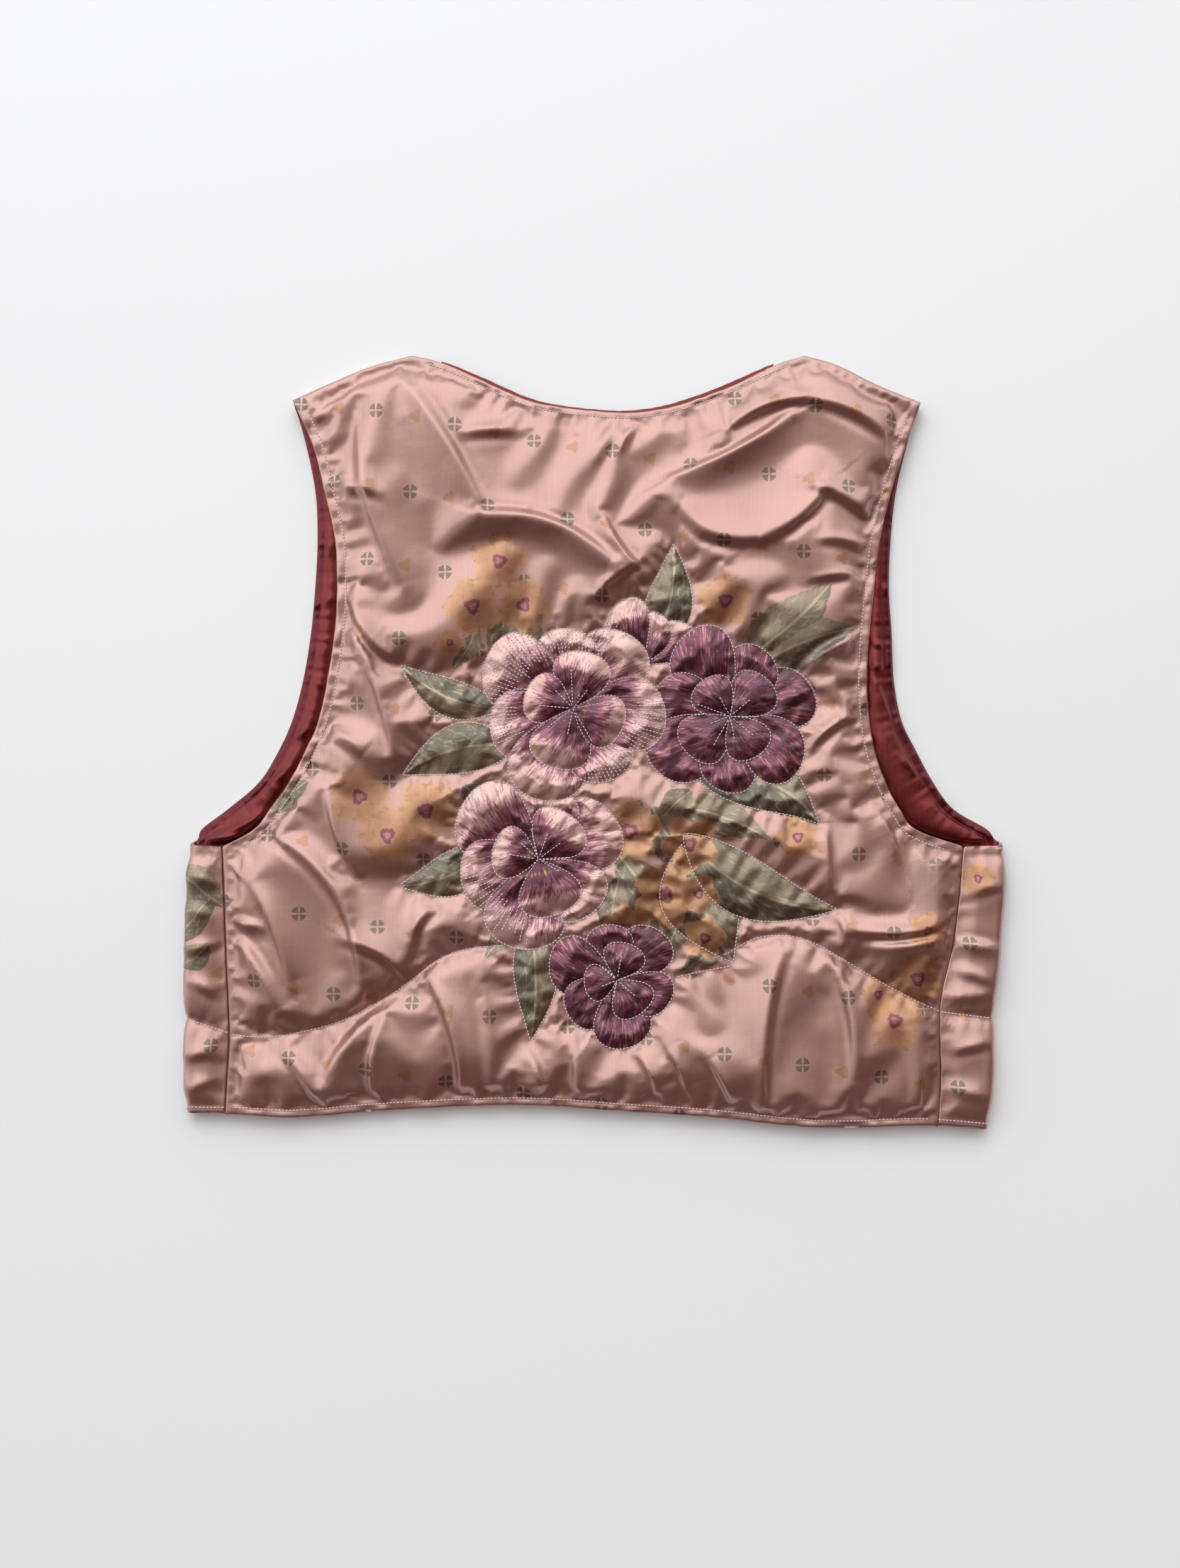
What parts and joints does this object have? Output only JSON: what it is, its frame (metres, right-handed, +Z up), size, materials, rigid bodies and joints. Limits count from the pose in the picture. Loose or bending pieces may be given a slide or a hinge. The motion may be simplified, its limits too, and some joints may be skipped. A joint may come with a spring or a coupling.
{
  "type": "quilted waistcoat",
  "caption": "Short sleeveless quilted satin waistcoat with a flower spray, laid flat with its back uppermost.",
  "frame": {"origin": "on the surface it lies on, under the middle of the garment's bounding box", "axes": "+X across the garment towards the right of its back, +Y towards the shoulders, +Z up from the surface"},
  "size_m": [0.5244, 0.493, 0.0196],
  "materials": {
    "printed_satin": "printed satin over wadding, soft sheen",
    "rust_lining": "plain satin, glossy",
    "thread": "fine pale sewing thread"
  },
  "bodies": {
    "root": {"back": "printed_satin", "front_left": "printed_satin", "front_right": "printed_satin", "front_lining_left": "rust_lining", "front_lining_right": "rust_lining", "back_neck_lining": "rust_lining"}
  },
  "joints": []
}
